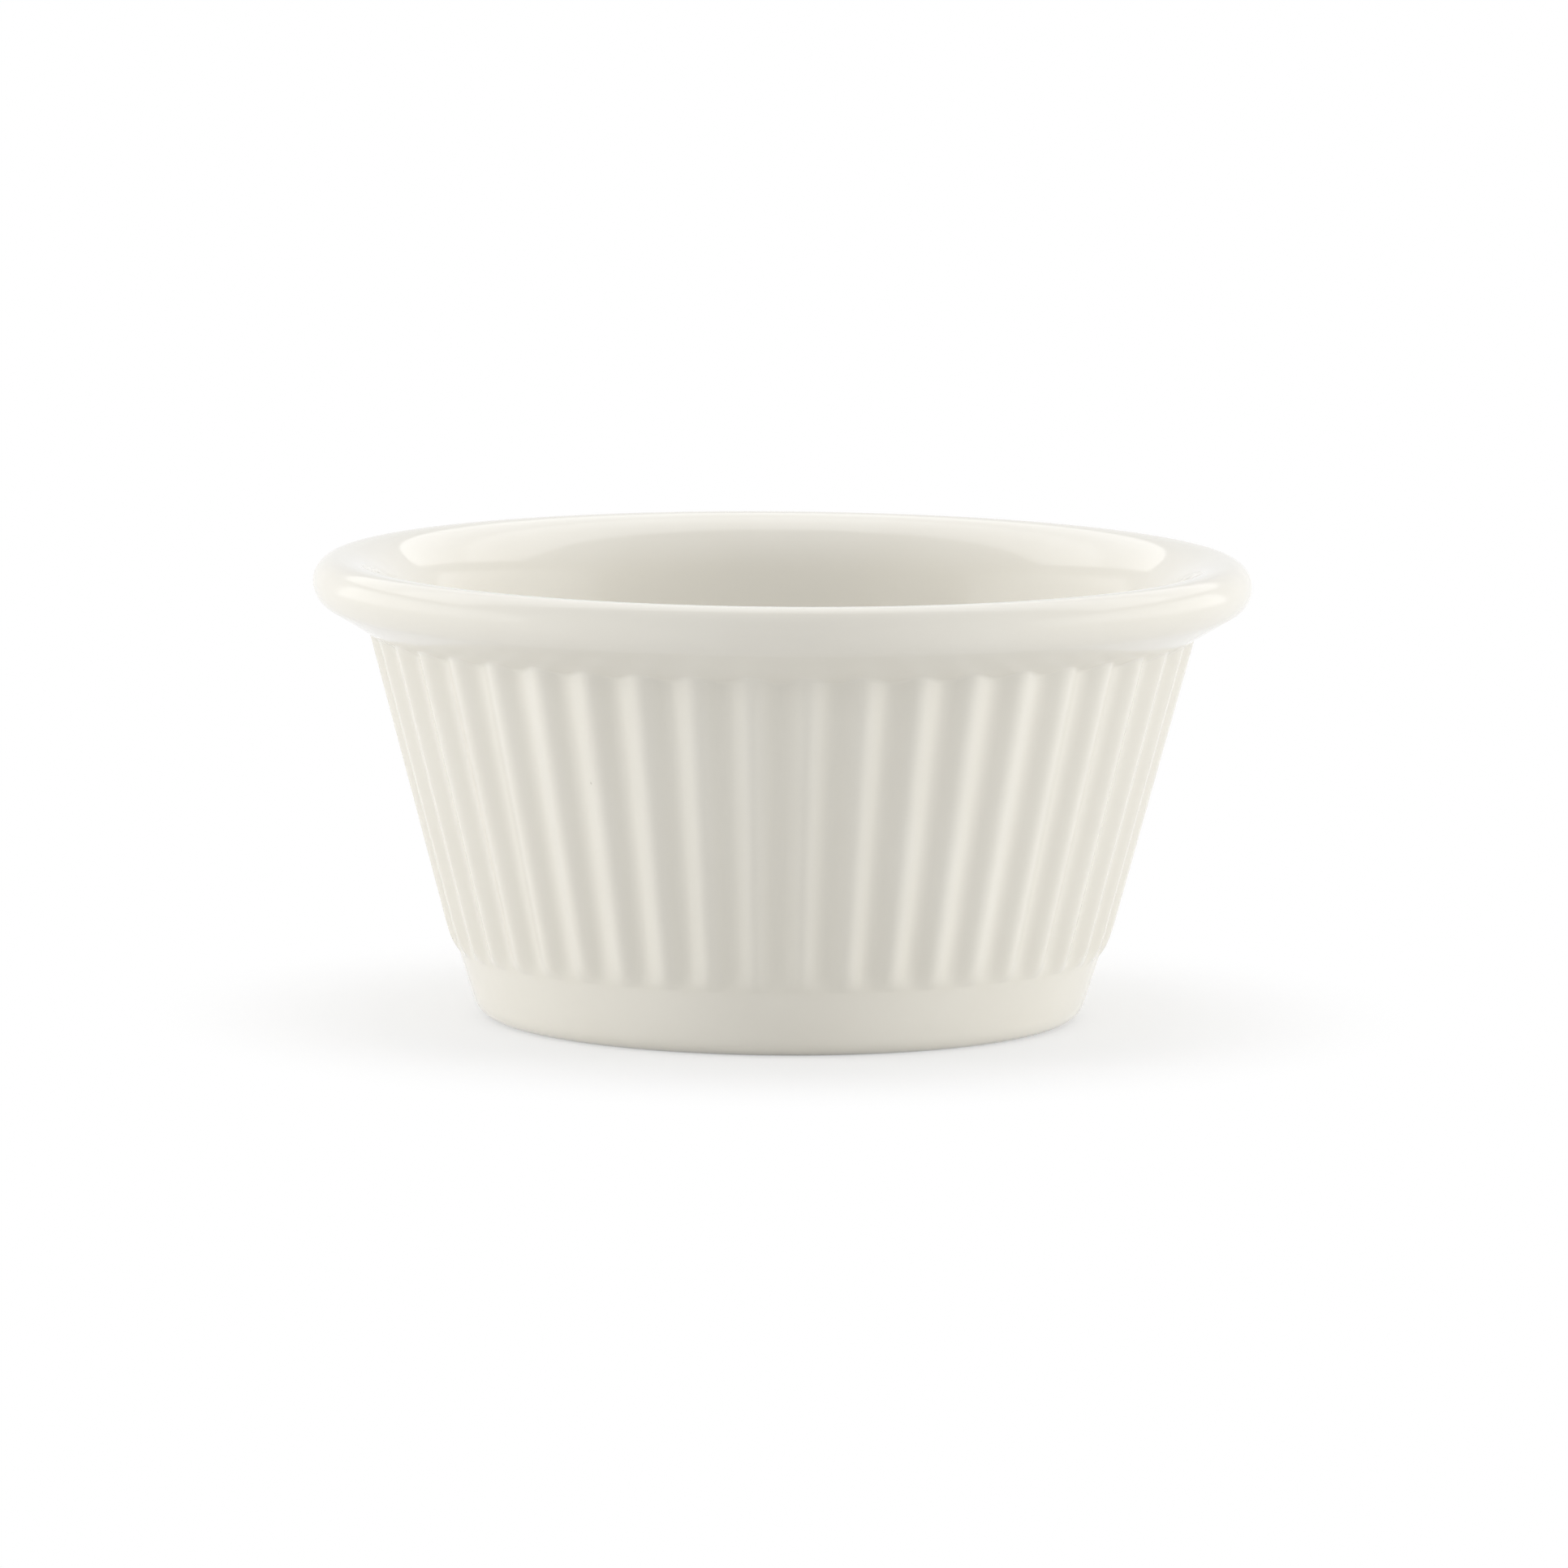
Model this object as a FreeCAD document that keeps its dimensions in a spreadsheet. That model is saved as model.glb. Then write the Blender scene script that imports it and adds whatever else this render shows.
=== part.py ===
import FreeCAD, Part
import math
import os
import Sketcher
from FreeCAD import Vector

# A fluted ramekin: one glazed porcelain dish with a plain foot band, ribs round the wall and a rolled rim.
# Z is the axis of the dish, z = 0 is the plane it stands on, and a flute faces -Y.

# Driving dimensions, in millimetres and degrees
SIZES = {
    "rim_diameter": 90.0,         # widest part of the rolled rim
    "height": 44.15,              # from the table to the top of the rim
    "bead_radius": 2.65,          # outer roll of the rim
    "underside_angle": 31.0,      # slope of the rim's underside above the horizontal
    "foot_diameter": 57.7,        # foot band at the table, before its edge is rounded
    "foot_taper": 17.5,           # lean of the foot band from the vertical
    "foot_edge_radius": 2.3,      # rounding of the foot's outer edge
    "band_height": 6.8,           # middle of the step where the ribs begin
    "rib_rise": 0.58,             # how far the ribs stand out from the foot band
    "rib_end_length": 1.8,        # height of the step at the ribs' lower ends
    "rib_end_radius": 2.5,        # rounding of that step
    "rim_overhang": 4.13,         # how far the roll stands out past the rib crests at its own level
    "rib_count": 46,              # ribs round the wall
    "flute_depth_rim": 0.80,      # depth of the flutes between the ribs, under the rim
    "flute_depth_foot": 0.50,     # the same at the foot band, where the flutes run out
    "rib_share": 0.53,            # share of each wave that is the convex rib
    "crest_flat": 0.40,           # width of the narrow land on each rib
    "wall_thickness": 4.2,        # level thickness from the rib crests to the inside
    "floor_thickness": 4.5,       # from the table to the inner floor
    "floor_corner_radius": 7.0,   # hollow corner between inner wall and floor
    "foot_ring_width": 3.2,       # flat ring that the dish stands on
    "recess_depth": 1.2,          # hollow of the underside inside that ring
    "recess_corner_radius": 1.0,  # hollow corner of the recess
    "recess_draft": 30.0,         # lean of the recess's side from the vertical
    "cut_margin": 3.0,            # how far cutting outlines run past the material
}

doc = FreeCAD.newDocument("ramekin")
sheet = doc.addObject("Spreadsheet::Sheet", "Sizes")
for row, (name, value) in enumerate(SIZES.items(), start=1):
    sheet.set(f"A{row}", name)
    sheet.set(f"B{row}", str(value))
    sheet.setAlias(f"B{row}", name)
doc.recompute()

# Derived sizes, as expressions of the sheet
FOOT_R = "(Sizes.foot_diameter / 2)"
BEAD_CENTRE_R = "(Sizes.rim_diameter / 2 - Sizes.bead_radius)"
BEAD_CENTRE_Z = "(Sizes.height - Sizes.bead_radius)"
STEP_LOW_Z = "(Sizes.band_height - Sizes.rib_end_length / 2)"
STEP_HIGH_Z = "(Sizes.band_height + Sizes.rib_end_length / 2)"
FLUTE_LOW_Z = "(Sizes.band_height - Sizes.rib_end_length)"
FLUTE_HIGH_Z = f"({BEAD_CENTRE_Z} + Sizes.cut_margin)"
BLANK_TOP_Z = "(Sizes.height + Sizes.cut_margin)"
HALF_PITCH = "(180 / Sizes.rib_count)"
RING_OUTER_R = f"({FOOT_R} - Sizes.foot_edge_radius * tan(45 - Sizes.foot_taper / 2))"
RING_INNER_R = f"({RING_OUTER_R} - Sizes.foot_ring_width)"


def band_radius(level):
    """Outer radius of the plain foot band at a level."""
    return f"({FOOT_R} + {level} * tan(Sizes.foot_taper))"


# The wall leans from the foot band out to the rim: radius gained for each millimetre of height
CREST_AT_BAND = f"({band_radius('Sizes.band_height')} + Sizes.rib_rise)"
CREST_AT_RIM = "(Sizes.rim_diameter / 2 - Sizes.rim_overhang)"
WALL_SLOPE = f"(({CREST_AT_RIM} - {CREST_AT_BAND}) / ({BEAD_CENTRE_Z} - Sizes.band_height))"


def crest_radius(level):
    """Radius of the rib crests at a level."""
    return f"({CREST_AT_BAND} + ({level} - Sizes.band_height) * {WALL_SLOPE})"


def inner_radius(level):
    """Radius of the inner wall at a level."""
    return f"({crest_radius(level)} - Sizes.wall_thickness)"


def number(expression):
    """Present value of a sheet expression, used to place sketch geometry before it is solved."""
    value = sheet.evalExpression(expression)
    return float(getattr(value, "Value", value))


def new_sketch(body, name, role, level=None):
    """Sketch on one of the body's own origin planes, raised to a level if one is given."""
    sketch = body.newObject("Sketcher::SketchObject", name)
    plane = next(item for item in body.Origin.OriginFeatures if item.Role == role)
    sketch.AttachmentSupport = (plane, [""])
    sketch.MapMode = "FlatFace"
    if level:
        sketch.setExpression("AttachmentOffset.Base.z", level)
    return sketch


def fix(sketch, kind, *where):
    """Geometric constraint in a sketch."""
    return sketch.addConstraint(Sketcher.Constraint(kind, *where))


def bind(sketch, kind, *where, size):
    """Dimension in a sketch that takes its value from the sheet."""
    index = fix(sketch, kind, *where, number(size))
    sketch.setExpression(f"Constraints[{index}]", size)


def place(sketch, geometry, point, across, up):
    """Hold a point at its distances across and up from the sketch's origin; None keeps it on that axis."""
    if across is None:
        fix(sketch, "PointOnObject", geometry, point, -2)
    else:
        bind(sketch, "DistanceX", -1, 1, geometry, point, size=across)
    if up is None:
        fix(sketch, "PointOnObject", geometry, point, -1)
    else:
        bind(sketch, "DistanceY", -1, 1, geometry, point, size=up)


def add_arc(sketch, start, middle, end):
    """Arc through three points; returns it with the numbers of its start and end points."""
    arc = sketch.addGeometry(Part.Arc(start, middle, end), False)
    runs_forward = sketch.getPoint(arc, 1).isEqual(start, 1e-6)
    return (arc, 1, 2) if runs_forward else (arc, 2, 1)


def outline(sketch, corners):
    """Closed outline through corners of (across, up, radius, ends_at_next).

    A corner with a radius is round. Where ends_at_next is true its arc runs level into the next corner, with
    no straight piece between.
    """
    count = len(corners)
    points = [Vector(number(x or "0"), number(y or "0"), 0) for x, y, _, _ in corners]
    trims = []
    for i, (_, _, radius, _) in enumerate(corners):
        back = (points[i - 1] - points[i]).normalize()
        ahead = (points[(i + 1) % count] - points[i]).normalize()
        half_angle = back.getAngle(ahead) / 2
        trim = number(radius) / math.tan(half_angle) if radius else 0
        reach = number(radius) / math.sin(half_angle) - number(radius) if radius else 0
        middle = points[i] + (back + ahead).normalize() * reach if radius else points[i]
        trims.append((points[i] + back * trim, middle, points[i] + ahead * trim))
    lines = []
    for i, (_, _, _, ends_at_next) in enumerate(corners):
        straight = None if ends_at_next else Part.LineSegment(trims[i][2], trims[(i + 1) % count][0])
        lines.append(sketch.addGeometry(straight, False) if straight else None)
    # Arcs that run straight into a corner, by that corner's place in the list
    arriving_arcs = {}
    for i, (across, up, radius, ends_at_next) in enumerate(corners):
        if not radius:
            continue
        arc, first, last = add_arc(sketch, *trims[i])
        fix(sketch, "Tangent", lines[i - 1], 2, arc, first)
        bind(sketch, "Radius", arc, size=radius)
        if ends_at_next:
            fix(sketch, "Vertical", arc, 3, arc, last)
            arriving_arcs[(i + 1) % count] = (arc, last)
        else:
            fix(sketch, "Tangent", arc, last, lines[i], 1)
            mark = sketch.addGeometry(Part.Point(points[i]), True)
            place(sketch, mark, 1, across, up)
            fix(sketch, "PointOnObject", mark, 1, lines[i - 1])
            fix(sketch, "PointOnObject", mark, 1, lines[i])
    for i, (across, up, radius, _) in enumerate(corners):
        if radius:
            continue
        before = arriving_arcs.get(i, (lines[i - 1], 2))
        fix(sketch, "Coincident", *before, lines[i], 1)
        place(sketch, lines[i], 1, across, up)


def turned(body, kind, name, corners):
    """Revolution or groove about the dish's axis, from an outline of its half section."""
    sketch = new_sketch(body, f"{name}_outline", "XZ_Plane")
    outline(sketch, corners)
    doc.recompute()
    feature = body.newObject(f"PartDesign::{kind}", name)
    feature.Profile = sketch
    feature.ReferenceAxis = (sketch, ["V_Axis"])
    feature.Angle = 360
    feature.Refine = False
    doc.recompute()
    return feature


def wall_blank(body):
    """Solid blank of foot and wall, out to the rib crests, with the rounded step at the ribs' lower ends."""
    return turned(body, "Revolution", "wall_blank", [
        (None, None, None, False),
        (FOOT_R, None, "Sizes.foot_edge_radius", False),
        (band_radius(STEP_LOW_Z), STEP_LOW_Z, "Sizes.rib_end_radius", False),
        (crest_radius(STEP_HIGH_Z), STEP_HIGH_Z, "Sizes.rib_end_radius", False),
        (CREST_AT_RIM, BEAD_CENTRE_Z, None, False),
        (None, BEAD_CENTRE_Z, None, False),
    ])


def flute_section(body, name, level, depth):
    """Level section of one flute: a hollow arc between the halves of two ribs, open to the outside."""
    crest = crest_radius(level)
    half_width = f"({crest} * sin({HALF_PITCH}))"
    wave = f"(({half_width}^2 + {depth}^2) / (2 * {depth}))"
    rib_radius = f"(Sizes.rib_share * {wave})"
    rib_centre = f"({crest} - {rib_radius} + (Sizes.crest_flat / 2)^2 / (2 * {rib_radius}))"
    rib_x = f"({rib_centre} * sin({HALF_PITCH}))"
    rib_y = f"({rib_centre} * cos({HALF_PITCH}))"
    side_x = f"({half_width} - Sizes.crest_flat / 4)"

    # Start positions: the flute's floor, the rib centre, and where the two arcs touch
    floor = Vector(0, -number(f"{crest} - {depth}"), 0)
    rib = Vector(number(rib_x), -number(rib_y), 0)
    radius = number(rib_radius)
    from_floor = rib - floor
    hollow = (radius ** 2 - from_floor.dot(from_floor)) / (2 * (from_floor.y - radius))
    hollow_centre = floor - Vector(0, hollow, 0)
    touch = rib + (hollow_centre - rib).normalize() * radius
    end_x = number(side_x)
    end = Vector(end_x, rib.y - math.sqrt(radius ** 2 - (end_x - rib.x) ** 2), 0)
    shoulder = rib + ((touch + end) * 0.5 - rib).normalize() * radius
    outer = -number(f"{crest} + Sizes.cut_margin / 2")

    def mirrored(point):
        return Vector(-point.x, point.y, 0)

    sketch = new_sketch(body, name, "XY_Plane", level)
    groove, groove_left, groove_right = add_arc(sketch, mirrored(touch), floor, touch)
    right, right_in, right_out = add_arc(sketch, touch, shoulder, end)
    left, left_in, left_out = add_arc(sketch, mirrored(touch), mirrored(shoulder), mirrored(end))
    right_side = sketch.addGeometry(Part.LineSegment(end, Vector(end.x, outer, 0)), False)
    cap = sketch.addGeometry(Part.LineSegment(Vector(end.x, outer, 0), Vector(-end.x, outer, 0)), False)
    left_side = sketch.addGeometry(Part.LineSegment(Vector(-end.x, outer, 0), mirrored(end)), False)
    bottom = sketch.addGeometry(Part.Point(floor), True)

    place(sketch, bottom, 1, None, f"-({crest} - {depth})")
    fix(sketch, "PointOnObject", bottom, 1, groove)
    fix(sketch, "Tangent", groove, groove_right, right, right_in)
    fix(sketch, "Tangent", groove, groove_left, left, left_in)
    place(sketch, right, 3, rib_x, f"-{rib_y}")
    bind(sketch, "Radius", right, size=rib_radius)
    fix(sketch, "Symmetric", right, 3, left, 3, -2)
    fix(sketch, "Coincident", right, right_out, right_side, 1)
    fix(sketch, "Coincident", right_side, 2, cap, 1)
    fix(sketch, "Coincident", cap, 2, left_side, 1)
    fix(sketch, "Coincident", left_side, 2, left, left_out)
    fix(sketch, "Symmetric", right_side, 1, left_side, 2, -2)
    place(sketch, right_side, 2, side_x, f"-({crest} + Sizes.cut_margin / 2)")
    fix(sketch, "Vertical", right_side)
    fix(sketch, "Symmetric", right_side, 2, left_side, 1, -2)
    return sketch


def flutes(body):
    """Flutes cut up the wall between the ribs, tapering towards the foot, where they run out."""
    low = flute_section(body, "flute_at_foot", FLUTE_LOW_Z, "Sizes.flute_depth_foot")
    high = flute_section(body, "flute_at_rim", FLUTE_HIGH_Z, "Sizes.flute_depth_rim")
    doc.recompute()
    flute = body.newObject("PartDesign::SubtractiveLoft", "flute")
    flute.Profile = low
    flute.Sections = [high]
    flute.Ruled = True
    flute.Refine = False
    doc.recompute()
    ring = body.newObject("PartDesign::PolarPattern", "flutes")
    ring.Originals = [flute]
    ring.Axis = (low, ["N_Axis"])
    ring.Angle = 360
    ring.setExpression("Occurrences", "Sizes.rib_count")
    ring.Refine = False
    body.Tip = ring
    doc.recompute()
    return ring


def rim_blank(body):
    """Solid disc of the rim: its sloping underside closes the flutes' tops, its edge is the outer roll."""
    reach = f"({BEAD_CENTRE_R} + Sizes.bead_radius / tan(Sizes.underside_angle / 2))"
    core = f"({CREST_AT_RIM} - Sizes.cut_margin)"
    core_z = f"(Sizes.height - ({reach} - {core}) * tan(Sizes.underside_angle))"
    return turned(body, "Revolution", "rim_blank", [
        (None, core_z, None, False),
        (core, core_z, None, False),
        (reach, "Sizes.height", "Sizes.bead_radius", True),
        (BEAD_CENTRE_R, "Sizes.height", None, False),
        (None, BLANK_TOP_Z, None, False),
    ])


def hollow(body):
    """Inside of the dish: level floor, round corner, leaning wall, and a shoulder that rolls to the rim."""
    shoulder_width = f"({BEAD_CENTRE_R} - {inner_radius('Sizes.height')})"
    shoulder = f"({shoulder_width} * ({WALL_SLOPE} + sqrt(1 + {WALL_SLOPE}^2)))"
    open_z = f"({BLANK_TOP_Z} + Sizes.cut_margin)"
    return turned(body, "Groove", "hollow", [
        (None, "Sizes.floor_thickness", None, False),
        (inner_radius("Sizes.floor_thickness"), "Sizes.floor_thickness", "Sizes.floor_corner_radius", False),
        (inner_radius("Sizes.height"), "Sizes.height", shoulder, True),
        (BEAD_CENTRE_R, "Sizes.height", None, False),
        (BEAD_CENTRE_R, open_z, None, False),
        (None, open_z, None, False),
    ])


def foot_recess(body):
    """Shallow hollow under the floor that leaves the foot ring to stand on."""
    draft = "tan(Sizes.recess_draft)"
    return turned(body, "Groove", "foot_recess", [
        (None, "-Sizes.cut_margin", None, False),
        (f"({RING_INNER_R} + Sizes.cut_margin * {draft})", "-Sizes.cut_margin", None, False),
        (f"({RING_INNER_R} - Sizes.recess_depth * {draft})", "Sizes.recess_depth",
         "Sizes.recess_corner_radius", False),
        (None, "Sizes.recess_depth", None, False),
    ])


def ramekin_body():
    """The dish, made as its blank is turned, fluted, hollowed and recessed."""
    body = doc.addObject("PartDesign::Body", "ramekin_body")
    body.Label = "ramekin_body"
    for step in (wall_blank, flutes, rim_blank, hollow, foot_recess):
        body.Tip = step(body)
        doc.recompute()
        print(step.__name__, round(body.Shape.Volume, 1), "mm3")
    return body


def check(subparts):
    """Stop if any object failed or any sub-part has no sound shape."""
    for item in doc.Objects:
        if {"Invalid", "Error"} & set(item.State):
            raise RuntimeError(f"{item.Name} failed: {item.State}")
    for item in subparts:
        if item.Shape.isNull() or not item.Shape.isValid():
            raise RuntimeError(f"{item.Label} has no sound shape")


subparts = [ramekin_body()]
check(subparts)
os.makedirs("parts", exist_ok=True)
for item in subparts:
    item.Shape.exportStep(f"parts/{item.Label}.step")
    box = item.Shape.optimalBoundingBox(False)
    extents = [round(size, 2) for size in (box.XLength, box.YLength, box.ZLength)]
    print(item.Label, len(item.Shape.Solids), "solid of", len(item.Shape.Faces), "faces,", extents, "mm")
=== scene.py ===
# %% [markdown]
# # A fluted ramekin
# This lesson dresses one small baking dish: a glazed porcelain ramekin with a plain foot band, ribs round
# its wall and a rolled rim. The CAD model gives its size and place. Here it gets the softness of a fired
# glaze, its finish and a studio to stand in.

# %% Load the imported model
import bmesh
import bpy
import math
from mathutils import Matrix, Vector


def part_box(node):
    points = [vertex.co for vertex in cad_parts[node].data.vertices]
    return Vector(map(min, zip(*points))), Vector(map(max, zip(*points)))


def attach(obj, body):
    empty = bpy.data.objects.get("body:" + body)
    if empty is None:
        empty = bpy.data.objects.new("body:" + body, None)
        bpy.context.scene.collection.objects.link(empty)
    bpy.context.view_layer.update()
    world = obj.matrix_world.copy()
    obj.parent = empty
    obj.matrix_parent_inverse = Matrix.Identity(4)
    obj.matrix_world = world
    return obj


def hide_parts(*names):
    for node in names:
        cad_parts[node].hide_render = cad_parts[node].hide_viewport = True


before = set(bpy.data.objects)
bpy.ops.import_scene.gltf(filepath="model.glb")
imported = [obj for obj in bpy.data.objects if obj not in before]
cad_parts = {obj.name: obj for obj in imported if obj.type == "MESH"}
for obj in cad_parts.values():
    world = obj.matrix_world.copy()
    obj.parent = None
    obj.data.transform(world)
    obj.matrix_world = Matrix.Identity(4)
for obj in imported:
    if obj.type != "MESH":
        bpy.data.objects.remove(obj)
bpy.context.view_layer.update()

# %% [markdown]
# ## The section of the dish
# A dish like this is pressed in a turned mould, so one outline carried round an axis gives all of it but
# the flutes. The outline could be typed as a long list of points. Drawing it with a pen is easier to
# follow: each move is a straight stretch or an arc, and the sizes are the ones that a potter would measure.

# %% Sizes of the section
MM = 0.001
QUARTER = math.pi / 2             # a quarter turn
_, node_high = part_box("ramekin_body")
RIM_RADIUS = node_high.x
HEIGHT = node_high.z
BEAD_RADIUS = 2.65 * MM           # lower half of the rim's outer roll
BEAD_TOP = 2.35 * MM              # its upper half, a little tighter
FOOT_RADIUS = 28.85 * MM          # foot band where it would meet the table
FOOT_LEAN = math.radians(17.5)
BAND_TOP = 6.8 * MM               # level where the ribs' step out from the band is measured
RIB_RISE = 0.58 * MM              # how far the rib crests stand out from the band there
RIM_OVERHANG = 4.13 * MM          # from the widest part of the roll in to the rib crests

overhang_level = HEIGHT - BEAD_RADIUS
crest_at_band = FOOT_RADIUS + BAND_TOP * math.tan(FOOT_LEAN) + RIB_RISE
wall_slope = (RIM_RADIUS - RIM_OVERHANG - crest_at_band) / (overhang_level - BAND_TOP)
wall_lean = math.atan(wall_slope)
print("wall leans", round(math.degrees(wall_lean), 2), "degrees")


def band_radius(level):
    """Radius of the plain foot band at a level."""
    return FOOT_RADIUS + level * math.tan(FOOT_LEAN)


def crest_radius(level):
    """Radius of the rib crests at a level."""
    return crest_at_band + (level - BAND_TOP) * wall_slope


# %% A pen that draws with mesh operators
def line_to(mesh, pen, across, up, pieces=1):
    """Draw a straight stretch of the section to a point, in equal pieces; returns the pen's new place."""
    start = pen.co.copy()
    end = Vector((0, -across, up))
    for piece in range(1, pieces + 1):
        pen = bmesh.ops.extrude_vert_indiv(mesh, verts=[pen])["verts"][0]
        pen.co = start.lerp(end, piece / pieces)
    return pen


def arc_to(mesh, pen, across, up, turn, steps):
    """Carry the pen round a centre by an angle; returns the pen's new place."""
    centre = (0, -across, up)
    swept = bmesh.ops.spin(mesh, geom=[pen], cent=centre, axis=(1, 0, 0), angle=-turn, steps=steps)
    return next(item for item in swept["geom_last"] if isinstance(item, bmesh.types.BMVert))


def polar(across, up, radius, angle):
    """Point of the section at an angle round a centre."""
    return across + radius * math.cos(angle), up + radius * math.sin(angle)


# %% [markdown]
# ## Under the foot
# The dish stands on a narrow flat ring. Inside it the underside is hollowed a little, so that the dish
# doesn't rock and the kiln shelf touches only the ring. The drawing starts at the middle of that hollow.

# %% Draw the underside
FOOT_EDGE = 2.3 * MM              # rounding between the standing ring and the foot band
RING_WIDTH = 3.2 * MM             # the flat that the dish stands on
RECESS_DEPTH = 1.2 * MM
RECESS_LEAN = math.radians(30)
RECESS_CORNER = 1.0 * MM
PLAIN, WALL, COVED = 0, 1, 2      # kinds of stretch

dish = bmesh.new()
zone = dish.verts.layers.int.new("zone")
marked = set()


def mark(kind):
    """Note what kind of stretch the points drawn since the last mark belong to."""
    for vert in set(dish.verts) - marked:
        vert[zone] = kind
        marked.add(vert)


ring_outer = FOOT_RADIUS - FOOT_EDGE * math.tan((QUARTER - FOOT_LEAN) / 2)
ring_inner = ring_outer - RING_WIDTH
recess_edge = ring_inner - RECESS_DEPTH * math.tan(RECESS_LEAN)
recess_turn = QUARTER - RECESS_LEAN
recess_flat = recess_edge - RECESS_CORNER * math.tan(recess_turn / 2)

pen = dish.verts.new((0, 0, RECESS_DEPTH))
pen = line_to(dish, pen, recess_flat, RECESS_DEPTH, pieces=3)
pen = arc_to(dish, pen, recess_flat, RECESS_DEPTH - RECESS_CORNER, -recess_turn, steps=4)
pen = line_to(dish, pen, ring_inner, 0)
pen = line_to(dish, pen, ring_outer, 0, pieces=2)
pen = arc_to(dish, pen, ring_outer, FOOT_EDGE, QUARTER - FOOT_LEAN, steps=7)
mark(PLAIN)
print("standing ring from", round(ring_inner / MM, 2), "to", round(ring_outer / MM, 2), "mm")

# %% [markdown]
# ## The wall
# The wall is drawn along the rib crests. Its flutes come later, by moving points inwards, so it needs rings
# of points: close together where the ribs end above the foot band, far apart where the ribs run straight.

# %% Draw the wall
UNDERSIDE_SLOPE = math.radians(31)
COVE = 0.9 * MM                   # rounding of the glaze that has settled under the rim
BAND_RINGS = (3.2, 4.8, 5.6, 6.0, 6.22)    # levels in millimetres
CREST_RINGS = (6.32, 6.4, 6.48, 6.6, 6.8, 7.05, 7.4, 7.8, 8.3, 9.0, 10.2, 12.0,
               15.0, 20.0, 26.0, 31.0, 34.0, 35.3, 36.0)

bead_across = RIM_RADIUS - BEAD_RADIUS
bead_up = HEIGHT - BEAD_TOP
bead_foot = polar(bead_across, bead_up, BEAD_RADIUS, UNDERSIDE_SLOPE - QUARTER)
meeting_gap = bead_foot[0] - crest_radius(bead_foot[1])
meeting_up = bead_foot[1] - meeting_gap / (1 / math.tan(UNDERSIDE_SLOPE) - wall_slope)
meeting_across = crest_radius(meeting_up)
cove_turn = QUARTER - UNDERSIDE_SLOPE - wall_lean
cove_trim = COVE * math.tan(cove_turn / 2)
cove_across = meeting_across - cove_trim * math.sin(wall_lean)
cove_up = meeting_up - cove_trim * math.cos(wall_lean)

for level in BAND_RINGS:
    pen = line_to(dish, pen, band_radius(level * MM), level * MM)
for level in CREST_RINGS:
    pen = line_to(dish, pen, crest_radius(level * MM), level * MM)
mark(WALL)
pen = line_to(dish, pen, cove_across, cove_up)
print("ribs meet the rim's underside at", round(meeting_across / MM, 2), round(meeting_up / MM, 2), "mm")

# %% [markdown]
# ## Rim and hollow
# Glaze runs while it is molten and fills every sharp corner, so a small cove joins the wall to the rim's
# underside. From there the pen goes round the roll of the rim, over a wider shoulder, down the inside wall,
# and round the floor's corner to the middle of the floor.

# %% Draw the rim
cove_centre_across = cove_across + COVE * math.cos(wall_lean)
cove_centre_up = cove_up - COVE * math.sin(wall_lean)
crown_across = RIM_RADIUS - BEAD_TOP
pen = arc_to(dish, pen, cove_centre_across, cove_centre_up, -cove_turn, steps=4)
mark(COVED)
pen = line_to(dish, pen, *bead_foot, pieces=5)
pen = arc_to(dish, pen, bead_across, bead_up, QUARTER - UNDERSIDE_SLOPE, steps=8)
pen = arc_to(dish, pen, crown_across, bead_up, QUARTER, steps=12)
print("section has", len(dish.verts), "points up to the top of the rim")

# %% Draw the hollow
WALL_THICKNESS = 4.2 * MM
FLOOR_LEVEL = 4.5 * MM
FLOOR_CORNER = 7.0 * MM
inner_at_top = crest_radius(HEIGHT) - WALL_THICKNESS
shoulder = (crown_across - inner_at_top) * (wall_slope + math.hypot(1, wall_slope))
corner_up = FLOOR_LEVEL + FLOOR_CORNER
corner_start_up = corner_up - FLOOR_CORNER * math.sin(wall_lean)
corner_start = crest_radius(corner_start_up) - WALL_THICKNESS
corner_across = corner_start - FLOOR_CORNER * math.cos(wall_lean)
pen = arc_to(dish, pen, crown_across, HEIGHT - shoulder, QUARTER - wall_lean, steps=14)
pen = line_to(dish, pen, corner_start, corner_start_up, pieces=6)
pen = arc_to(dish, pen, corner_across, corner_up, -(QUARTER - wall_lean), steps=8)
pen = line_to(dish, pen, 0, FLOOR_LEVEL, pieces=4)
mark(PLAIN)
print("section has", len(dish.verts), "points; shoulder radius", round(shoulder / MM, 2), "mm")

# %% [markdown]
# ## One rib, shaped before it is repeated
# The wall has 46 equal ribs. Spinning the section through one forty-sixth of a turn gives a wedge that runs
# from the middle of one flute to the middle of the next, and only that wedge needs shaping.

# %% Spin one wedge
RIB_COUNT = 46
RIB_STEPS = 16
PITCH = 2 * math.pi / RIB_COUNT
MERGE = 0.002 * MM                # points closer than this are one point
MIDDLE = (0, 0, 0)
AXIS = (0, 0, 1)
outline = dish.verts[:] + dish.edges[:]
bmesh.ops.spin(dish, geom=outline, cent=MIDDLE, axis=AXIS, angle=PITCH, steps=RIB_STEPS)
bmesh.ops.remove_doubles(dish, verts=dish.verts[:], dist=MERGE)
print("one wedge has", len(dish.verts), "points")

# %% [markdown]
# ## Flutes
# Across a wedge the wall is a wave: a rounded crest, a plain flank and a rounded flute, which meet without a
# crease. The flutes are deeper under the rim than at the foot. Every rib ends at the same level above the
# foot band: its whole height sinks into the band there, slowly at first and then steeply, which makes a
# blunt end. At the top a flute is closed by the rim's underside, which it meets a little lower than the rib
# does.

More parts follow.
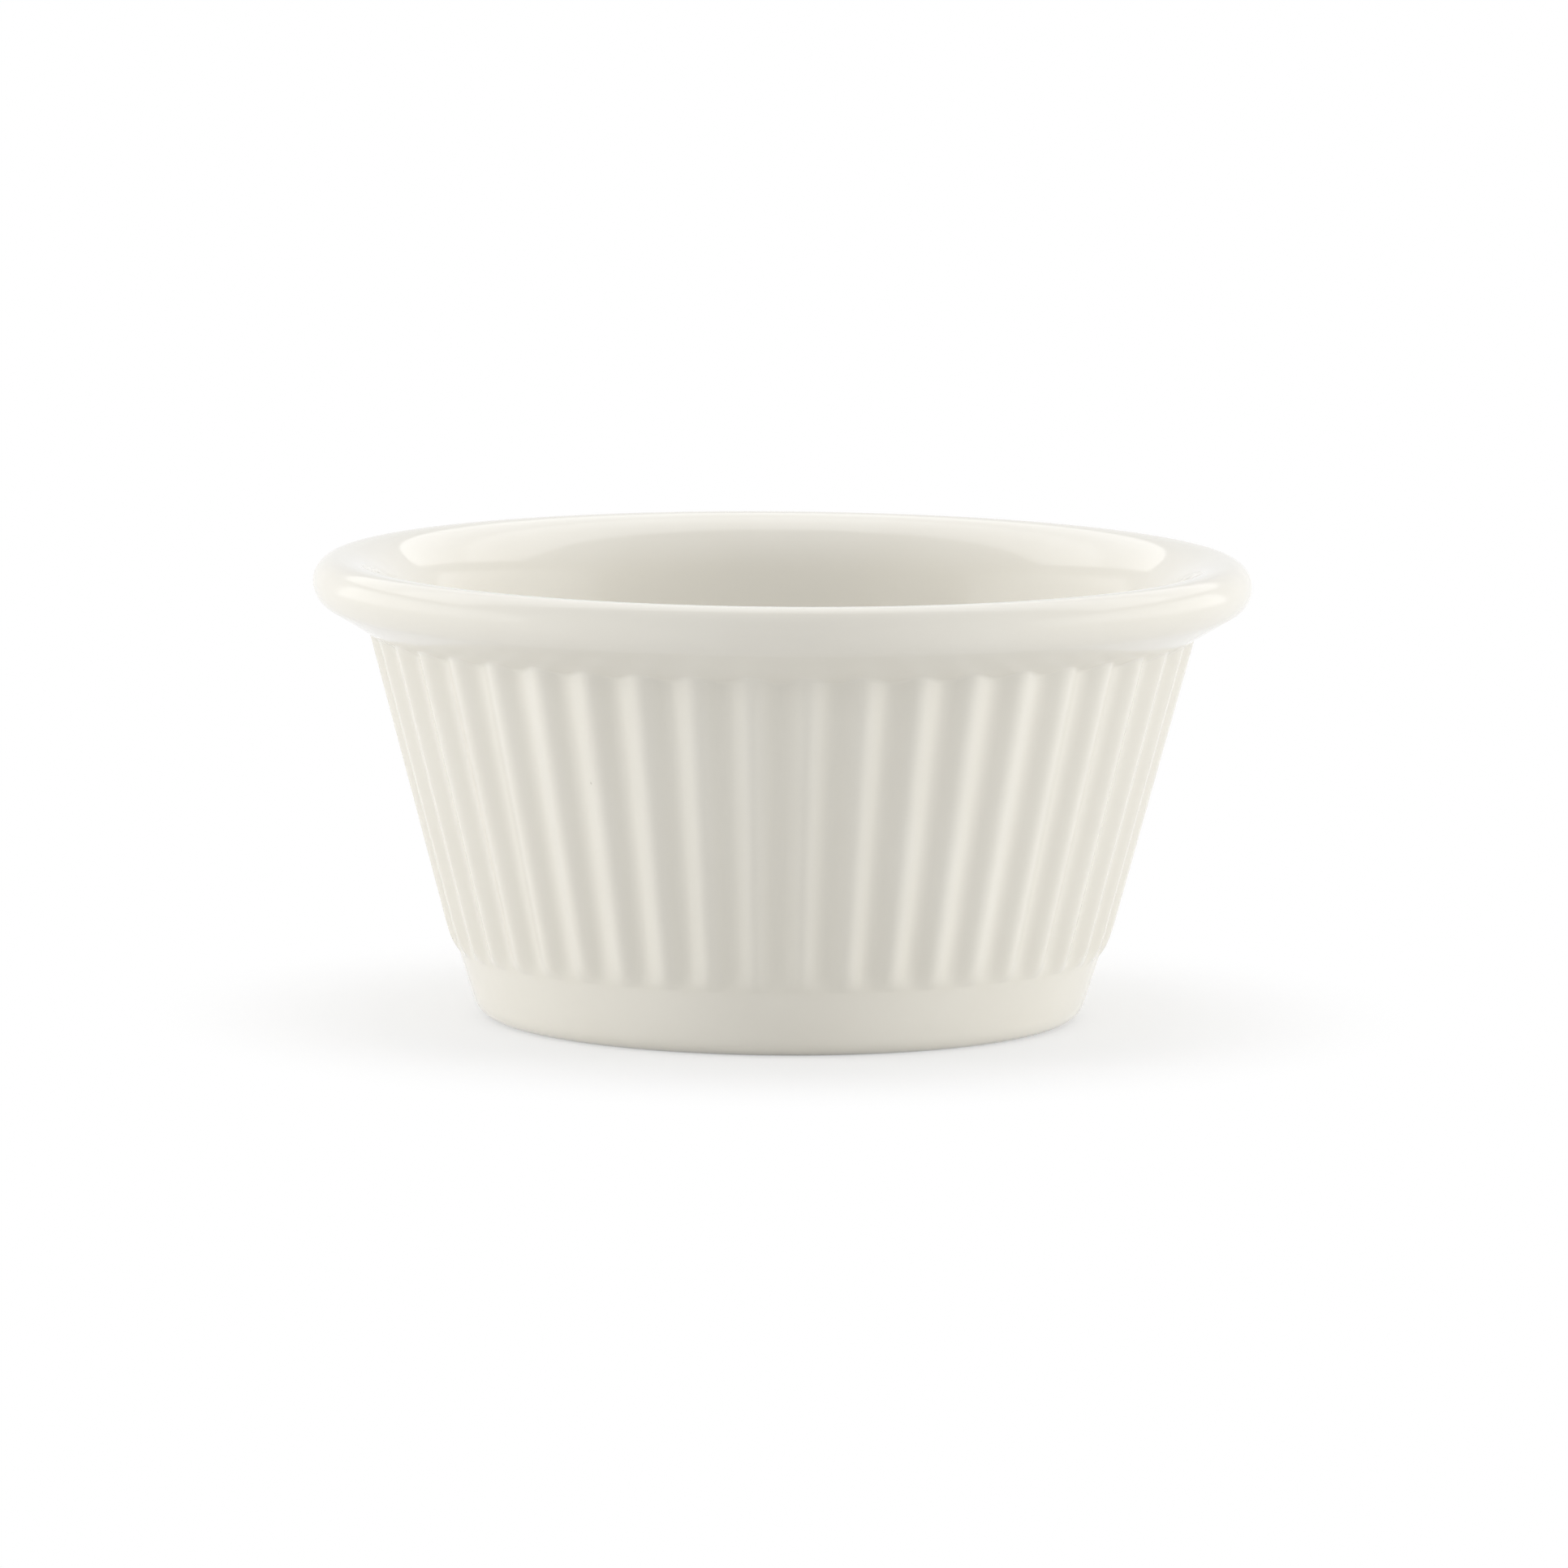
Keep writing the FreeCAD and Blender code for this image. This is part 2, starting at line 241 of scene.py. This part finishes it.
# %% Wave and depth of the flutes
CREST_SHARE = 0.30                # share of the way from crest to flute that is the rounded crest
FLUTE_SHARE = 0.36                # and the share that is the rounded flute; a plain slope lies between
FLANK_SLOPE = 1 / (1 - CREST_SHARE / 2 - FLUTE_SHARE / 2)
DEPTH_AT_FOOT = 0.61 * MM
DEPTH_AT_RIM = 0.80 * MM
DEPTH_FOOT_LEVEL = 5.0 * MM       # levels at which the flutes would have those two depths
DEPTH_RIM_LEVEL = 44.5 * MM


def wave(vert):
    """0 on the crest of the rib and 1 in the middle of a flute, for a point of the wedge."""
    phase = math.atan2(vert.co.x, -vert.co.y) / PITCH
    reach = min(1.0, abs(2 * phase - 1))
    if reach < CREST_SHARE:
        return FLANK_SLOPE * reach ** 2 / (2 * CREST_SHARE)
    if reach < 1 - FLUTE_SHARE:
        return FLANK_SLOPE * (reach - CREST_SHARE / 2)
    return 1 - FLANK_SLOPE * (1 - reach) ** 2 / (2 * FLUTE_SHARE)


def flute_depth(level):
    """Depth of the flutes at a level."""
    share = (level - DEPTH_FOOT_LEVEL) / (DEPTH_RIM_LEVEL - DEPTH_FOOT_LEVEL)
    return DEPTH_AT_FOOT + share * (DEPTH_AT_RIM - DEPTH_AT_FOOT)


print("flutes are", round(flute_depth(meeting_up) / MM, 2), "mm deep under the rim")

# %% Blunt ends of the ribs
RIB_END_CORNER = 6.4 * MM         # level where a rib's rounded lower end meets the band
RIB_END_LENGTH = 3.2 * MM
RIB_END_POWER = 3                 # how blunt that end is
CORNER_SOFTNESS = 0.12            # glaze in the corner at a rib's end, as a share of the rib's height


def rib_height_share(level):
    """How much of a rib's height is left at a level: all of it on the wall and next to none on the band."""
    below = max(0.0, RIB_END_CORNER + RIB_END_LENGTH - level) / RIB_END_LENGTH
    left = 1 - below ** RIB_END_POWER
    return (left + math.hypot(left, CORNER_SOFTNESS)) / (1 + math.hypot(1, CORNER_SOFTNESS))


for above in (-1 * MM, 0, 1 * MM, RIB_END_LENGTH):
    left = rib_height_share(RIB_END_CORNER + above)
    print("rib height left", above / MM, "mm above its corner:", round(left, 3))

# %% Rules for a point of the wall
ROOF_SHIFT = 1 / (1 / math.tan(UNDERSIDE_SLOPE) - wall_slope)
ROOF_FROM = 31.0 * MM             # above this level the rings follow the flutes' closed tops
POOL_AND_SHADE_REACH = 0.5 * MM             # how far the pooled glaze and its painted shade reach round the corner at a rib's end
CORNER_POOL_AND_SHADE = 0.5                 # share of the pooling and painted shade that only those corners have


def fluted(level, hollow):
    """Radius and level of a wall point that began on the crest line."""
    wall = crest_radius(level) - flute_depth(level) * hollow
    band = band_radius(level)
    roof = max(0.0, level - ROOF_FROM) / (meeting_up - ROOF_FROM)
    sink = ROOF_SHIFT * flute_depth(level) * hollow * roof ** 2
    return band + (wall - band) * rib_height_share(level) - sink * wall_slope, level - sink


def pooled_glaze_and_shade(level, hollow):
    """Share of pooled glaze and painted shade at a wall point: in the flutes, and most in the corners where
    they end.
    """
    from_corner = (level - RIB_END_CORNER) / POOL_AND_SHADE_REACH
    in_corner = math.exp(-from_corner * from_corner)
    return hollow * ((1 - CORNER_POOL_AND_SHADE) * rib_height_share(level) + CORNER_POOL_AND_SHADE * in_corner)


print("a flute closes", round(ROOF_SHIFT * flute_depth(meeting_up) / MM, 2), "mm lower than a rib")

# %% Shape the wedge
pool_and_shade_layer = dish.verts.layers.float.new("glaze_pool_and_shade")
for vert in dish.verts:
    if vert[zone] == PLAIN:
        continue
    hollow = wave(vert)
    radius = math.hypot(vert.co.x, vert.co.y)
    across = vert.co.xy / radius
    if vert[zone] == WALL:
        radius, level = fluted(vert.co.z, hollow)
    else:
        inward = flute_depth(meeting_up) * hollow
        radius -= inward * (1 + ROOF_SHIFT * wall_slope)
        level = vert.co.z - inward * ROOF_SHIFT
    vert.co = (across.x * radius, across.y * radius, level)
    # pooled glaze and painted shade: a darker colour in the flutes and where the ribs end
    vert[pool_and_shade_layer] = pooled_glaze_and_shade(level, hollow)
print("shaped", sum(1 for vert in dish.verts if vert[zone] != PLAIN), "points")

# %% [markdown]
# ## The whole dish
# A spin that duplicates instead of extruding sets the wedge round the axis. The seams are merged, the faces
# are turned outwards, and the dish takes the place of the plainer CAD solid, which is hidden. The seams are
# merged, the faces are turned outwards, and the dish replaces the plainer CAD solid, which stays for
# collision.

# %% Repeat the wedge
wedge = dish.verts[:] + dish.edges[:] + dish.faces[:]
others = RIB_COUNT - 1
turn = PITCH * others
bmesh.ops.spin(dish, geom=wedge, cent=MIDDLE, axis=AXIS, angle=turn, steps=others, use_duplicate=True)
bmesh.ops.remove_doubles(dish, verts=dish.verts[:], dist=MERGE)
bmesh.ops.recalc_face_normals(dish, faces=dish.faces[:])
for face in dish.faces:
    face.smooth = True
print("dish has", sum(1 for edge in dish.edges if not edge.is_manifold), "open edges")


# %% Make the object
def add_object(name, data):
    """New object in the scene."""
    made = bpy.data.objects.new(name, data)
    bpy.context.scene.collection.objects.link(made)
    return made


dish_mesh = bpy.data.meshes.new("ramekin_dish")
dish.to_mesh(dish_mesh)
dish.free()
ramekin = add_object("ramekin_dish", dish_mesh)
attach(ramekin, "root")
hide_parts("ramekin_body")
print("dish has", sum(len(face.vertices) - 2 for face in dish_mesh.polygons), "triangles")

# %% [markdown]
# ## Fired clay
# Glaze and bare clay share one thing: the clay under them isn't one flat colour. It is cloudy on the scale
# of a fingertip and carries a few tiny dark specks. That effect is a node group, so that both finishes can
# use it with their own tones. It reads Object coordinates, because the dish sits at the origin and has no
# seams there.

# %% Helpers for nodes
COLOUR_A, COLOUR_B, COLOUR_OUT = 6, 7, 2    # a mix node's sockets for colours


def add(tree, kind, **settings):
    """New node in a tree, with some of its settings."""
    node = tree.nodes.new(kind)
    for name, value in settings.items():
        setattr(node, name, value)
    return node


def feed(tree, socket, value):
    """Give a socket a plain value or another node's output."""
    if isinstance(value, bpy.types.NodeSocket):
        tree.links.new(value, socket)
    else:
        socket.default_value = value


def mix_colour(tree, factor, one, other):
    """Mix two colours by a factor output; each is a plain colour or an output."""
    node = add(tree, "ShaderNodeMix", data_type="RGBA")
    tree.links.new(factor, node.inputs["Factor"])
    feed(tree, node.inputs[COLOUR_A], one)
    feed(tree, node.inputs[COLOUR_B], other)
    return node.outputs[COLOUR_OUT]


def map_range(tree, value, low, high, to_low, to_high):
    """Stretch a value from one range to another, smoothly clamped at its ends."""
    node = add(tree, "ShaderNodeMapRange", interpolation_type="SMOOTHSTEP")
    tree.links.new(value, node.inputs["Value"])
    node.inputs["From Min"].default_value = low
    node.inputs["From Max"].default_value = high
    node.inputs["To Min"].default_value = to_low
    node.inputs["To Max"].default_value = to_high
    return node.outputs["Result"]


# %% Node group for fired clay
CLOUD_DETAIL = 3
CLOUD_LOW, CLOUD_HIGH = 0.35, 0.65          # noise values between which a cloud builds up
SPECK_SPACING = 110               # cells in a metre: few enough for a dozen specks on the dish
SPECK_SIZE = 0.020                # radius of a speck in cells
SPECK_CORE = 0.5                  # share of that radius that has the speck's full strength
SPECK_STRENGTH = 0.5
clay = bpy.data.node_groups.new("fired_clay", "ShaderNodeTree")
for label, kind in (("Tone", "NodeSocketColor"), ("Cloud Tone", "NodeSocketColor"),
                    ("Speck Tone", "NodeSocketColor"), ("Cloud Scale", "NodeSocketFloat")):
    clay.interface.new_socket(label, in_out="INPUT", socket_type=kind)
for label, kind in (("Color", "NodeSocketColor"), ("Cloud", "NodeSocketFloat")):
    clay.interface.new_socket(label, in_out="OUTPUT", socket_type=kind)

given = add(clay, "NodeGroupInput")
result = add(clay, "NodeGroupOutput")
place = add(clay, "ShaderNodeTexCoord")
clouds = add(clay, "ShaderNodeTexNoise")
clouds.inputs["Detail"].default_value = CLOUD_DETAIL
clay.links.new(place.outputs["Object"], clouds.inputs["Vector"])
clay.links.new(given.outputs["Cloud Scale"], clouds.inputs["Scale"])
cloud = map_range(clay, clouds.outputs["Fac"], CLOUD_LOW, CLOUD_HIGH, 0, 1)
specks = add(clay, "ShaderNodeTexVoronoi")
specks.inputs["Scale"].default_value = SPECK_SPACING
clay.links.new(place.outputs["Object"], specks.inputs["Vector"])
speck = map_range(clay, specks.outputs["Distance"], SPECK_SIZE * SPECK_CORE, SPECK_SIZE, SPECK_STRENGTH, 0)
cloudy = mix_colour(clay, cloud, given.outputs["Tone"], given.outputs["Cloud Tone"])
speckled = mix_colour(clay, speck, cloudy, given.outputs["Speck Tone"])
clay.links.new(speckled, result.inputs["Color"])
clay.links.new(cloud, result.inputs["Cloud"])
print("fired clay group has", len(clay.nodes), "nodes")

# %% [markdown]
# ## Glaze
# The glaze is a thin coat of clear glass over warm white clay. It runs off the ribs and pools in the flutes
# and corners, and there its colour is painted darker: partly for the deeper glaze, partly as painted shade in
# those hollows. The shaping of the wedge left a value for this on every point, and the material reads it.
# The surface of a fired glaze is also a little uneven, which a weak bump gives to the reflections.

# %% Helpers for the finishes
SPECK_TONE = (0.42, 0.38, 0.31, 1)


def clay_node(tree, tone, cloud_tone, cloud_scale):
    """Fired clay group placed in a material, with its own tones."""
    node = add(tree, "ShaderNodeGroup", node_tree=clay)
    node.inputs["Tone"].default_value = tone
    node.inputs["Cloud Tone"].default_value = cloud_tone
    node.inputs["Speck Tone"].default_value = SPECK_TONE
    node.inputs["Cloud Scale"].default_value = cloud_scale
    return node


def uneven(tree, scale, height):
    """Weak bump over a surface, from noise of a given scale and a height in metres."""
    coordinates = add(tree, "ShaderNodeTexCoord")
    ripple = add(tree, "ShaderNodeTexNoise")
    ripple.inputs["Scale"].default_value = scale
    tree.links.new(coordinates.outputs["Object"], ripple.inputs["Vector"])
    bump = add(tree, "ShaderNodeBump")
    bump.inputs["Distance"].default_value = height
    tree.links.new(ripple.outputs["Fac"], bump.inputs["Height"])
    return bump.outputs["Normal"]


# %% Glazed porcelain
GLAZE_TONE = (0.802, 0.777, 0.706, 1)
GLAZE_CLOUD = (0.792, 0.765, 0.692, 1)
# darker tone for the flutes and rib-end corners: partly deeper glaze, partly painted shade
GLAZE_POOLED_AND_SHADED = (0.778, 0.750, 0.670, 1)
GLAZE_CLOUD_SCALE = 70
GLAZE_ROUGHNESS = (0.04, 0.06)    # between the clouds and in them
RIPPLE_SCALE = 220
RIPPLE_HEIGHT = 0.006 * MM
glaze = bpy.data.materials.new("glazed_porcelain")
glaze.use_nodes = True
glaze_tree = glaze.node_tree
glaze_shader = glaze_tree.nodes["Principled BSDF"]
glaze_clay = clay_node(glaze_tree, GLAZE_TONE, GLAZE_CLOUD, GLAZE_CLOUD_SCALE)
# reads the share of pooled glaze and painted shade that the shaping left on every point
pooling_and_shade = add(glaze_tree, "ShaderNodeAttribute", attribute_name="glaze_pool_and_shade")
glaze_colour = mix_colour(glaze_tree, pooling_and_shade.outputs["Fac"], glaze_clay.outputs["Color"], GLAZE_POOLED_AND_SHADED)
glaze_gloss = map_range(glaze_tree, glaze_clay.outputs["Cloud"], 0, 1, *GLAZE_ROUGHNESS)
glaze_tree.links.new(glaze_colour, glaze_shader.inputs["Base Color"])
glaze_tree.links.new(glaze_gloss, glaze_shader.inputs["Roughness"])
glaze_tree.links.new(uneven(glaze_tree, RIPPLE_SCALE, RIPPLE_HEIGHT), glaze_shader.inputs["Normal"])
dish_mesh.materials.append(glaze)
print("glaze has", len(glaze_tree.nodes), "nodes")

# %% [markdown]
# ## Bare foot ring
# The ring that stands on the kiln shelf is wiped clean of glaze before firing, or it would stick. It stays
# matt and a little darker, with the fine grain of fired clay.

# %% Biscuit ring
BISCUIT_TONE = (0.70, 0.675, 0.60, 1)
BISCUIT_CLOUD = (0.64, 0.61, 0.53, 1)
BISCUIT_CLOUD_SCALE = 260
BISCUIT_ROUGHNESS = (0.62, 0.8)
GRAIN_SCALE = 2600
GRAIN_HEIGHT = 0.03 * MM
biscuit = bpy.data.materials.new("bare_biscuit")
biscuit.use_nodes = True
biscuit_tree = biscuit.node_tree
biscuit_shader = biscuit_tree.nodes["Principled BSDF"]
biscuit_clay = clay_node(biscuit_tree, BISCUIT_TONE, BISCUIT_CLOUD, BISCUIT_CLOUD_SCALE)
biscuit_gloss = map_range(biscuit_tree, biscuit_clay.outputs["Cloud"], 0, 1, *BISCUIT_ROUGHNESS)
biscuit_tree.links.new(biscuit_clay.outputs["Color"], biscuit_shader.inputs["Base Color"])
biscuit_tree.links.new(biscuit_gloss, biscuit_shader.inputs["Roughness"])
biscuit_tree.links.new(uneven(biscuit_tree, GRAIN_SCALE, GRAIN_HEIGHT), biscuit_shader.inputs["Normal"])
dish_mesh.materials.append(biscuit)

# %% Give the ring its finish
GLAZED, BARE = 0, 1               # the dish's two finishes, in the order in which they were added
ON_TABLE = 0.01 * MM              # a face below this level lies on the table
FACING_DOWN = -0.99
bare_faces = 0
for face in dish_mesh.polygons:
    on_ring = face.center.z < ON_TABLE and face.normal.z < FACING_DOWN
    face.material_index = BARE if on_ring else GLAZED
    bare_faces += on_ring
print("bare ring has", bare_faces, "faces")

# %% [markdown]
# ## Studio
# Pale glazed ware is photographed in soft light, because a small lamp would show as a hard spot on every
# rib. Here a low wide panel stands on each side of the dish, and two more hang above and behind it and look
# down. The front gets less light than the sides, which draws the ribs.

# %% Lamps
SIDE_AWAY = 0.8                   # distance of each side lamp from the dish, in metres
SIDE_BACK = 0.23                  # how far its middle lies behind the dish
SIDE_WIDTH, SIDE_HEIGHT = 1.24, 0.45
SIDE_LEVEL = 0.7
OVERHEAD = 1.0                    # height of the two lamps that look down
OVERHEAD_WIDTH = 2.6
TOP_BACK, TOP_DEPTH, TOP_LEVEL = 0.6, 0.8, 1.15
REAR_BACK, REAR_DEPTH, REAR_LEVEL = 1.7, 1.4, 0.65
DOWN = (0, 0, -1)


def softbox(name, place, facing, width, height, radiance):
    """Rectangular lamp that faces a direction; its power follows from its size and brightness."""
    lamp = bpy.data.lights.new(name, "AREA")
    lamp.shape = "RECTANGLE"
    lamp.size = width
    lamp.size_y = height
    lamp.energy = radiance * width * height * math.pi
    stand = add_object(name, lamp)
    stand.location = place
    stand.rotation_euler = Vector(facing).to_track_quat("-Z", "Y").to_euler()
    stand.visible_camera = False
    print(name, "gives", round(lamp.energy, 2), "watts")


for name, side in (("softbox_left", -1), ("softbox_right", 1)):
    spot = (side * SIDE_AWAY, SIDE_BACK, SIDE_HEIGHT / 2)
    softbox(name, spot, (-side, 0, 0), SIDE_WIDTH, SIDE_HEIGHT, SIDE_LEVEL)
softbox("softbox_top", (0, TOP_BACK, OVERHEAD), DOWN, OVERHEAD_WIDTH, TOP_DEPTH, TOP_LEVEL)
softbox("softbox_back", (0, REAR_BACK, OVERHEAD), DOWN, OVERHEAD_WIDTH, REAR_DEPTH, REAR_LEVEL)

# %% [markdown]
# ## Room and floor
# The background is white to every ray that shows it: straight to the camera, mirrored in the glaze, or
# through glass. Rays that only bring light meet a dim room with three soft glows, one on each side and one in
# front, because light from pure white all round would wash out the ribs. The floor is made the same way, but
# close to the dish some of its own shading shows, and that keeps the shadow.

# %% Helpers for the room and the floor
def mix_value(tree, factor, one, other):
    """Mix two values by a factor output; each is a number or an output."""
    node = add(tree, "ShaderNodeMix", data_type="FLOAT")
    tree.links.new(factor, node.inputs["Factor"])
    feed(tree, node.inputs["A"], one)
    feed(tree, node.inputs["B"], other)
    return node.outputs["Result"]


def math_node(tree, operation, one, other):
    """Join two values by a mathematical operation; each is a number or an output."""
    node = add(tree, "ShaderNodeMath", operation=operation)
    feed(tree, node.inputs[0], one)
    feed(tree, node.inputs[1], other)
    return node.outputs["Value"]


def seen_rays(tree):
    """1 for rays that show what they meet, straight, mirrored or through glass; 0 for rays that light."""
    ray = add(tree, "ShaderNodeLightPath").outputs
    mirrored = math_node(tree, "MAXIMUM", ray["Is Glossy Ray"], ray["Is Transmission Ray"])
    return math_node(tree, "MAXIMUM", ray["Is Camera Ray"], mirrored)


# %% World
WHITE = 1                         # strength of the background to every ray that shows it
ROOM = 0.20                       # light from the room where no lamp glows
GLOW_ASIDE = math.radians(90)     # the side glows, as an angle from the camera's side
GLOW_UP = math.radians(10)
GLOW_POWER = 60                   # how fast a glow fades away from its middle
SIDE_GLOW = 12.4
FRONT_UP = math.radians(45)
FRONT_POWER = 3
FRONT_GLOW = 0.92
world = bpy.data.worlds.new("studio")
world.use_nodes = True
bpy.context.scene.world = world
room_tree = world.node_tree
room = room_tree.nodes["Background"]
room.inputs["Color"].default_value = (1, 1, 1, 1)
outwards = add(room_tree, "ShaderNodeTexCoord").outputs["Generated"]


def glow(aside, up, power, level):
    """Soft patch of light: brightest in one direction and fading away from it."""
    flat = math.cos(up)
    towards = add(room_tree, "ShaderNodeVectorMath", operation="DOT_PRODUCT")
    room_tree.links.new(outwards, towards.inputs[0])
    towards.inputs[1].default_value = (flat * math.sin(aside), -flat * math.cos(aside), math.sin(up))
    facing = math_node(room_tree, "MAXIMUM", towards.outputs["Value"], 0)
    return math_node(room_tree, "MULTIPLY", math_node(room_tree, "POWER", facing, power), level)


left_glow = glow(-GLOW_ASIDE, GLOW_UP, GLOW_POWER, SIDE_GLOW)
right_glow = glow(GLOW_ASIDE, GLOW_UP, GLOW_POWER, SIDE_GLOW)
front_glow = glow(0, FRONT_UP, FRONT_POWER, FRONT_GLOW)
glows = math_node(room_tree, "ADD", math_node(room_tree, "ADD", left_glow, right_glow), front_glow)
light = math_node(room_tree, "ADD", glows, ROOM)
room_tree.links.new(mix_value(room_tree, seen_rays(room_tree), light, WHITE), room.inputs["Strength"])
print("room has", len(room_tree.nodes), "nodes")

# %% Floor
FLOOR_REACH = 6                   # metres from the middle of the floor to its edges
floor_mesh = bpy.data.meshes.new("floor")
floor_plane = bmesh.new()
bmesh.ops.create_grid(floor_plane, x_segments=1, y_segments=1, size=FLOOR_REACH)
floor_plane.to_mesh(floor_mesh)
floor_plane.free()
floor = add_object("floor", floor_mesh)
print("floor reaches", max(vert.co.x for vert in floor_mesh.vertices), "m each way")

# %% Finish of the floor
FLOOR_TONE = (0.9, 0.9, 0.9, 1)
SHADE_NEAR = 0.5                  # share of the floor's own shading that shows close to the dish
NEAR = 0.032                      # metres from the dish's axis where that share begins to fall
FAR = 0.062                       # from here on the floor shows plain white
pale = bpy.data.materials.new("pale_floor")
pale.use_nodes = True
pale_tree = pale.node_tree
matt = pale_tree.nodes["Principled BSDF"]
matt.inputs["Base Color"].default_value = FLOOR_TONE
matt.inputs["Roughness"].default_value = 1
matt.inputs["Specular IOR Level"].default_value = 0
floor_place = add(pale_tree, "ShaderNodeTexCoord")
away = add(pale_tree, "ShaderNodeVectorMath", operation="LENGTH")
pale_tree.links.new(floor_place.outputs["Object"], away.inputs[0])
plain = map_range(pale_tree, away.outputs["Value"], NEAR, FAR, 1 - SHADE_NEAR, 1)
shine = add(pale_tree, "ShaderNodeEmission")
blend = add(pale_tree, "ShaderNodeMixShader")
share_in, matt_in, shine_in = blend.inputs
pale_tree.links.new(math_node(pale_tree, "MULTIPLY", seen_rays(pale_tree), plain), share_in)
pale_tree.links.new(matt.outputs["BSDF"], matt_in)
pale_tree.links.new(shine.outputs["Emission"], shine_in)
pale_tree.links.new(blend.outputs["Shader"], pale_tree.nodes["Material Output"].inputs["Surface"])
floor_mesh.materials.append(pale)
print("floor's finish has", len(pale_tree.nodes), "nodes")

# %% [markdown]
# ## Camera
# The photograph was taken with a long lens from a little above the rim, so the rim's ellipse is narrow.

# %% Camera
CAMERA_HEIGHT = math.radians(7.2)
CAMERA_TURN = math.radians(0.25)
CAMERA_ROLL = math.radians(0.461)
CAMERA_DISTANCE = 1.2
CAMERA_AIM = Vector((0.30 * MM, 0, 22.29 * MM))
CAMERA_SENSOR = 36                # in millimetres, as the lens below
CAMERA_LENS = 287.0


def rotation(angle, axis):
    """Turn about an axis, as a matrix that can be joined with shifts."""
    return Matrix.Rotation(angle, 4, axis)


camera_data = bpy.data.cameras.new("photo_camera")
camera_data.sensor_width = CAMERA_SENSOR
camera_data.lens = CAMERA_LENS
camera = add_object("photo_camera", camera_data)
turned = rotation(CAMERA_TURN, "Z") @ rotation(QUARTER - CAMERA_HEIGHT, "X")
rolled = turned @ rotation(CAMERA_ROLL, "Z")
camera.matrix_world = Matrix.Translation(CAMERA_AIM) @ rolled @ Matrix.Translation((0, 0, CAMERA_DISTANCE))
bpy.context.scene.camera = camera
bpy.context.scene.view_settings.view_transform = "Standard"
print("camera stands at", tuple(round(value, 3) for value in camera.matrix_world.translation))
